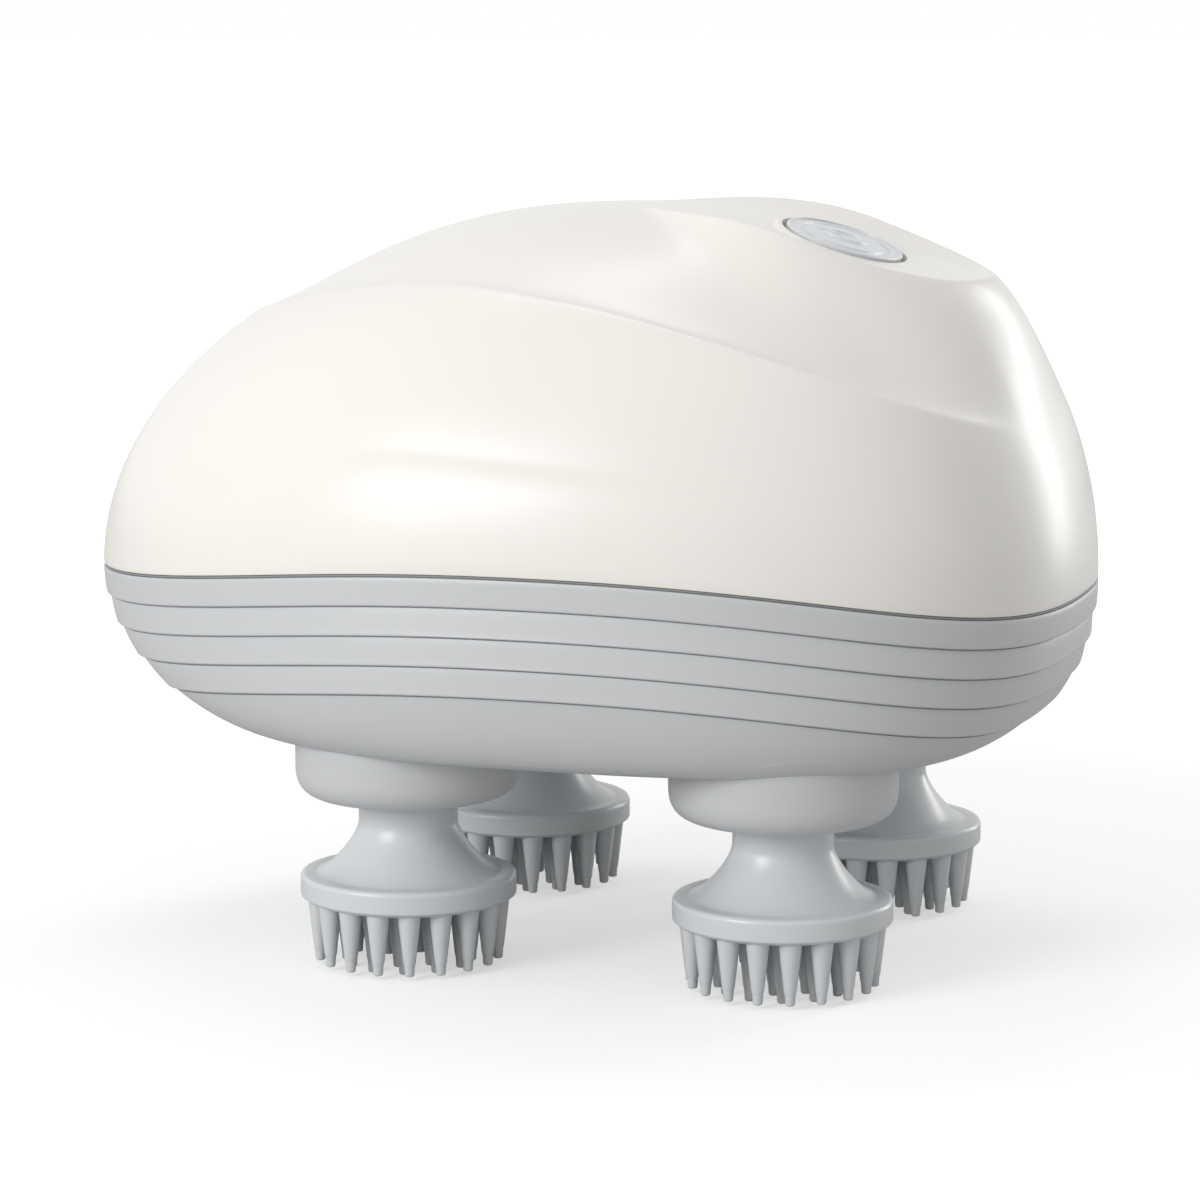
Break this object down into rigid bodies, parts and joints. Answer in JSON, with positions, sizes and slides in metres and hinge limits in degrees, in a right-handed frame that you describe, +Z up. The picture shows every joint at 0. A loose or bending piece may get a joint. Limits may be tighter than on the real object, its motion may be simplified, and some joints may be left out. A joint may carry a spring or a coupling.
{
  "type": "electric scalp massager",
  "caption": "Palm-held electric scalp massager: a smooth domed body with a button on top, standing on turning heads of soft bristles.",
  "frame": {"origin": "on the plane of the bristle tips, under the middle of the body", "axes": "+Z up, +X along the body towards the button, +Y across the body"},
  "size_m": [0.124, 0.092, 0.0903],
  "materials": {
    "white_shell": "gloss",
    "grey_shell": "satin",
    "grey_silicone": "satin",
    "grey_button": "satin",
    "dark_rubber": "matte",
    "steel": "satin",
    "brass": "satin",
    "acetal": "satin",
    "motor_can": "satin",
    "grey_frame": "satin",
    "cell_wrap": "gloss",
    "board_green": "satin",
    "board_black": "matte",
    "red_lead": "satin",
    "blue_lead": "satin"
  },
  "bodies": {
    "body": {"collar_front_left": "grey_shell", "collar_front_right": "grey_shell", "collar_rear_right": "grey_shell", "collar_rear_left": "grey_shell", "upper_shell": "white_shell", "lower_shell": "grey_shell", "parting_gasket": "dark_rubber", "chassis_plate": "grey_frame", "lower_bushes": "brass", "upper_bushes": "brass", "shaft_seals": "dark_rubber", "gearbox": "motor_can", "motor": "motor_can", "motor_screws": "steel", "battery": "cell_wrap", "battery_cradle": "grey_frame", "cradle_screws": "steel", "chassis_screws": "steel", "shell_screws": "steel", "screw_plugs": "grey_silicone", "charge_contacts": "brass", "contact_carrier": "board_black", "button_boot": "dark_rubber", "boot_retainer": "grey_frame", "tact_switch": "board_black", "control_board": "board_green", "board_parts": "board_black", "board_screws": "steel", "motor_leads": "red_lead", "battery_leads": "red_lead", "charge_leads": "blue_lead"},
    "drive": {"drive_shaft": "steel", "drive_gear": "acetal"},
    "button_cap": {"button": "grey_button"},
    "head_front_left": {"pad_front_left": "grey_silicone", "hub_front_left": "grey_frame", "shaft_front_left": "steel", "gear_front_left": "acetal", "clip_front_left": "steel"},
    "head_front_right": {"pad_front_right": "grey_silicone", "hub_front_right": "grey_frame", "shaft_front_right": "steel", "gear_front_right": "acetal", "clip_front_right": "steel"},
    "head_rear_right": {"pad_rear_right": "grey_silicone", "hub_rear_right": "grey_frame", "shaft_rear_right": "steel", "gear_rear_right": "acetal", "clip_rear_right": "steel"},
    "head_rear_left": {"pad_rear_left": "grey_silicone", "hub_rear_left": "grey_frame", "shaft_rear_left": "steel", "gear_rear_left": "acetal", "clip_rear_left": "steel"}
  },
  "joints": [
    {"name": "drive_spin", "type": "hinge", "parent": "body", "child": "drive", "pos_m": [0.0079, 0, 0.03], "axis": [0, 0, 1], "continuous": true},
    {"name": "front_left_spin", "type": "hinge", "parent": "body", "child": "head_front_left", "pos_m": [-0.01544, -0.02334, 0.03], "axis": [0, 0, 1], "continuous": true},
    {"name": "front_right_spin", "type": "hinge", "parent": "body", "child": "head_front_right", "pos_m": [0.03123, -0.02334, 0.03], "axis": [0, 0, 1], "continuous": true},
    {"name": "rear_right_spin", "type": "hinge", "parent": "body", "child": "head_rear_right", "pos_m": [0.03123, 0.02334, 0.03], "axis": [0, 0, 1], "continuous": true},
    {"name": "rear_left_spin", "type": "hinge", "parent": "body", "child": "head_rear_left", "pos_m": [-0.01544, 0.02334, 0.03], "axis": [0, 0, 1], "continuous": true},
    {"name": "button_press", "type": "slide", "parent": "body", "child": "button_cap", "axis": [-0.2807, 0, -0.9598], "range_m": [0, 0.0008], "stiffness_N_per_m": 600, "springref_m": -0.001, "deforming": ["button_boot"]}
  ],
  "couplings": [
    {"joint": "front_left_spin", "follows": "drive_spin", "ratio": -2},
    {"joint": "front_right_spin", "follows": "drive_spin", "ratio": -2},
    {"joint": "rear_right_spin", "follows": "drive_spin", "ratio": -2},
    {"joint": "rear_left_spin", "follows": "drive_spin", "ratio": -2}
  ]
}
